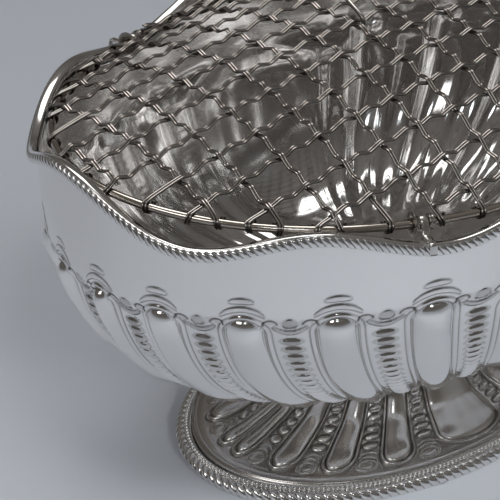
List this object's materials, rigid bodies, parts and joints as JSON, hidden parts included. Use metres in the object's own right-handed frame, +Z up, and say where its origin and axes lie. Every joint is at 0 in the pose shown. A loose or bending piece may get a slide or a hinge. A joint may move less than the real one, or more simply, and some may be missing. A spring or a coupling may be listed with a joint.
{
  "type": "jardiniere",
  "caption": "Oval silver jardiniere with lobed bowl, wavy gadroon rim, spreading lobed foot and a clipped-on domed wire flower grille with a bail handle.",
  "frame": {"origin": "on the floor plane under the middle of the oval foot", "axes": "+X along the oval's long axis, +Y along its short axis towards the side the bail handle leans to, +Z up"},
  "size_m": [0.3266, 0.2186, 0.2004],
  "materials": {
    "silver": "polished silver",
    "wire_silver": "polished silver with darkened recesses"
  },
  "bodies": {
    "jardiniere": {"bowl_body": "silver", "rim_border": "silver", "foot_dome": "silver", "foot_border": "silver"},
    "grille": {"grille_ring": "silver", "cross_wire_1": "wire_silver", "cross_wire_2": "wire_silver", "cross_wire_3": "wire_silver", "cross_wire_4": "wire_silver", "cross_wire_5": "wire_silver", "cross_wire_6": "wire_silver", "cross_wire_7": "wire_silver", "cross_wire_8": "wire_silver", "cross_wire_9": "wire_silver", "cross_wire_10": "wire_silver", "cross_wire_11": "wire_silver", "cross_wire_12": "wire_silver", "cross_wire_13": "wire_silver", "cross_wire_14": "wire_silver", "cross_wire_15": "wire_silver", "cross_wire_16": "wire_silver", "cross_wire_17": "wire_silver", "cross_wire_18": "wire_silver", "long_wire_1": "wire_silver", "long_wire_2": "wire_silver", "long_wire_3": "wire_silver", "long_wire_4": "wire_silver", "long_wire_5": "wire_silver", "long_wire_6": "wire_silver", "long_wire_7": "wire_silver", "long_wire_8": "wire_silver", "long_wire_9": "wire_silver", "long_wire_10": "wire_silver", "long_wire_11": "wire_silver", "long_wire_12": "wire_silver", "long_wire_13": "wire_silver", "ring_collar_1": "wire_silver", "ring_collar_2": "wire_silver", "ring_collar_3": "wire_silver", "ring_collar_4": "wire_silver", "ring_collar_5": "wire_silver", "ring_collar_6": "wire_silver", "ring_collar_7": "wire_silver", "ring_collar_8": "wire_silver"},
    "clip_1": {"rim_clip_1": "silver"},
    "clip_2": {"rim_clip_2": "silver"},
    "clip_3": {"rim_clip_3": "silver"},
    "clip_4": {"rim_clip_4": "silver"},
    "handle": {"bail_handle": "silver"}
  },
  "joints": [
    {"name": "grille_lift", "type": "slide", "parent": "jardiniere", "child": "grille", "axis": [0, 0, 1], "range_m": [0, 0.2]},
    {"name": "clip_1_swing", "type": "hinge", "parent": "grille", "child": "clip_1", "pos_m": [-0.06744, -0.08907, 0.15373], "axis": [-0.9514, 0.302, 0.0601], "range_deg": [0, 110]},
    {"name": "clip_2_swing", "type": "hinge", "parent": "grille", "child": "clip_2", "pos_m": [0.06744, -0.08907, 0.15373], "axis": [-0.9514, -0.302, -0.0601], "range_deg": [0, 110]},
    {"name": "clip_3_swing", "type": "hinge", "parent": "grille", "child": "clip_3", "pos_m": [0.06744, 0.08907, 0.15373], "axis": [0.9514, -0.302, 0.0601], "range_deg": [0, 110]},
    {"name": "clip_4_swing", "type": "hinge", "parent": "grille", "child": "clip_4", "pos_m": [-0.06744, 0.08907, 0.15373], "axis": [0.9514, 0.302, -0.0601], "range_deg": [0, 110]},
    {"name": "handle_swing", "type": "hinge", "parent": "grille", "child": "handle", "pos_m": [0, 0, 0.18496], "axis": [1, 0, 0], "range_deg": [0, 140]}
  ]
}
